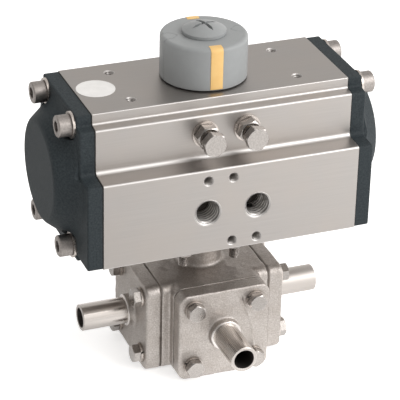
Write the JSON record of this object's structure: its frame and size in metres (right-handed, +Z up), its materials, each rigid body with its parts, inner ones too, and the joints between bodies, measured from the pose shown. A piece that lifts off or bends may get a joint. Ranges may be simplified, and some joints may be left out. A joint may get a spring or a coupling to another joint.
{
  "type": "pneumatic three-way ball valve",
  "caption": "Diverting ball valve with plain tube ends and square cast side plates, turned by a stepped aluminium rack-and-pinion air actuator with a round position indicator.",
  "frame": {"origin": "middle of the valve's flat base, under the stem", "axes": "+Z up along the stem, +X along the actuator towards the right tube end, -Y towards the front tube end and the air ports"},
  "size_m": [0.157, 0.0986, 0.1654],
  "materials": {
    "housing_aluminium": "extruded, bead-blasted and clear anodised, satin",
    "cap_coating": "die-cast aluminium with a fine-grained dark grey coating",
    "gasket_black": "black sheet rubber",
    "fastener_steel": "stainless steel, cold formed",
    "cast_stainless": "investment-cast stainless steel, pickled and blasted",
    "turned_stainless": "turned stainless steel",
    "polished_stainless": "ground and polished stainless steel",
    "pinion_steel": "nickel-plated carbon steel",
    "piston_aluminium": "cast and machined aluminium",
    "bearing_plastic": "acetal, moulded",
    "seat_plastic": "reinforced fluoropolymer, turned",
    "seal_rubber": "black nitrile rubber, moulded",
    "indicator_grey": "moulded plastic, satin",
    "indicator_yellow": "moulded plastic, satin",
    "indicator_black": "moulded plastic"
  },
  "bodies": {
    "valve_and_housing": {"actuator_housing": "housing_aluminium", "end_cap_left": "cap_coating", "end_cap_right": "cap_coating", "cap_gasket_left": "gasket_black", "cap_gasket_right": "gasket_black", "cap_screws_left": "fastener_steel", "cap_screws_right": "fastener_steel", "cap_washers_left": "fastener_steel", "cap_washers_right": "fastener_steel", "pinion_bearing_upper": "bearing_plastic", "stop_nuts": "fastener_steel", "stop_washers": "fastener_steel", "mounting_studs": "fastener_steel", "mounting_nuts": "fastener_steel", "mounting_spring_washers": "fastener_steel", "valve_body": "cast_stainless", "plate_left": "cast_stainless", "plate_right": "cast_stainless", "plate_front": "cast_stainless", "plate_rear": "cast_stainless", "plate_gasket_left": "gasket_black", "plate_gasket_right": "gasket_black", "plate_gasket_front": "gasket_black", "plate_gasket_rear": "gasket_black", "tube_end_left": "turned_stainless", "tube_end_right": "turned_stainless", "tube_end_front": "turned_stainless", "flange_bolts": "fastener_steel", "flange_spring_washers": "fastener_steel", "ball_seats": "seat_plastic", "stem_thrust_washer": "seat_plastic", "stem_packing": "seat_plastic", "stem_gland": "turned_stainless"},
    "rotor": {"pinion": "pinion_steel", "pinion_bearing_lower": "bearing_plastic", "pinion_oring_upper": "seal_rubber", "pinion_oring_lower": "seal_rubber", "stop_cam": "pinion_steel", "thrust_washer": "bearing_plastic", "retaining_ring": "turned_stainless", "indicator_base_ring": "indicator_black", "indicator_cap": "indicator_grey", "indicator_yellow_marks": "indicator_yellow", "indicator_grey_marks": "indicator_grey", "indicator_screw": "indicator_grey", "ball": "polished_stainless", "stem": "turned_stainless", "stem_disc_springs": "turned_stainless", "stem_nut": "fastener_steel"},
    "left_piston": {"piston_left": "piston_aluminium", "piston_seal_left": "seal_rubber", "piston_band_left": "bearing_plastic", "rack_shoe_left": "bearing_plastic"},
    "right_piston": {"piston_right": "piston_aluminium", "piston_seal_right": "seal_rubber", "piston_band_right": "bearing_plastic", "rack_shoe_right": "bearing_plastic"},
    "stop_screw_left": {"stop_screw_left": "fastener_steel"},
    "stop_screw_right": {"stop_screw_right": "fastener_steel"}
  },
  "joints": [
    {"name": "pinion_turn", "type": "hinge", "parent": "valve_and_housing", "child": "rotor", "pos_m": [0, 0, 0], "axis": [0, 0, 1], "range_deg": [0, 90]},
    {"name": "left_piston_slide", "type": "slide", "parent": "valve_and_housing", "child": "left_piston", "axis": [-1, 0, 0], "range_m": [0, 0.01649]},
    {"name": "right_piston_slide", "type": "slide", "parent": "valve_and_housing", "child": "right_piston", "axis": [1, 0, 0], "range_m": [0, 0.0165]},
    {"name": "stop_screw_left_slide", "type": "slide", "parent": "valve_and_housing", "child": "stop_screw_left", "axis": [0, -1, 0], "range_m": [0, 0.0015]},
    {"name": "stop_screw_right_slide", "type": "slide", "parent": "valve_and_housing", "child": "stop_screw_right", "axis": [0, -1, 0], "range_m": [0, 0.0015]}
  ],
  "couplings": [
    {"joint": "pinion_turn", "follows": "left_piston_slide", "rad_per_m": 95.238},
    {"joint": "right_piston_slide", "follows": "left_piston_slide", "ratio": 1}
  ]
}
